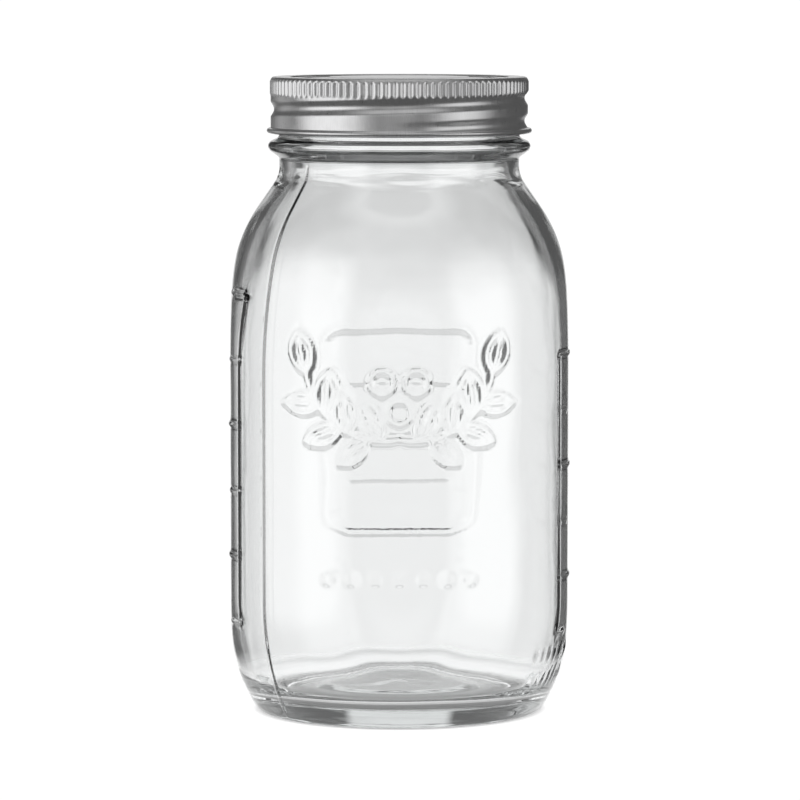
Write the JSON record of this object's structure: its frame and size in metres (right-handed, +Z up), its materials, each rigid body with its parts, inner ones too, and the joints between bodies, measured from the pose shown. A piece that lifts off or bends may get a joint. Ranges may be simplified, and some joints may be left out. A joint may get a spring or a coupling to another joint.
{
  "type": "canning jar",
  "caption": "Rounded-square glass canning jar with a threaded neck, closed by a flat sealing lid and an open-topped screw band.",
  "frame": {"origin": "centre of the bearing ring that the jar stands on", "axes": "+Z up along the jar's axis; -Y is the front panel with the large mark; +X and -X are the graduated side panels"},
  "size_m": [0.0952, 0.0958, 0.177],
  "materials": {
    "clear_glass": "clear moulded glass, smooth",
    "lid_tinplate": "bright tinplate, satin",
    "sealing_compound": "matte sealing compound",
    "band_tinplate": "bright tinplate, rolled and finely brushed upright"
  },
  "bodies": {
    "jar": {"jar": "clear_glass"},
    "lid": {"lid_disc": "lid_tinplate", "sealing_ring": "sealing_compound"},
    "band": {"screw_band": "band_tinplate"}
  },
  "joints": [
    {"name": "lid_lift", "type": "slide", "parent": "jar", "child": "lid", "axis": [0, 0, 1], "range_m": [0, 0.0255]},
    {"name": "band_turn", "type": "hinge", "parent": "lid", "child": "band", "pos_m": [0, 0, 0.17], "axis": [0, 0, 1], "range_deg": [0, 1440]}
  ],
  "couplings": [
    {"joint": "lid_lift", "follows": "band_turn", "m_per_rad": 0.0010106}
  ]
}
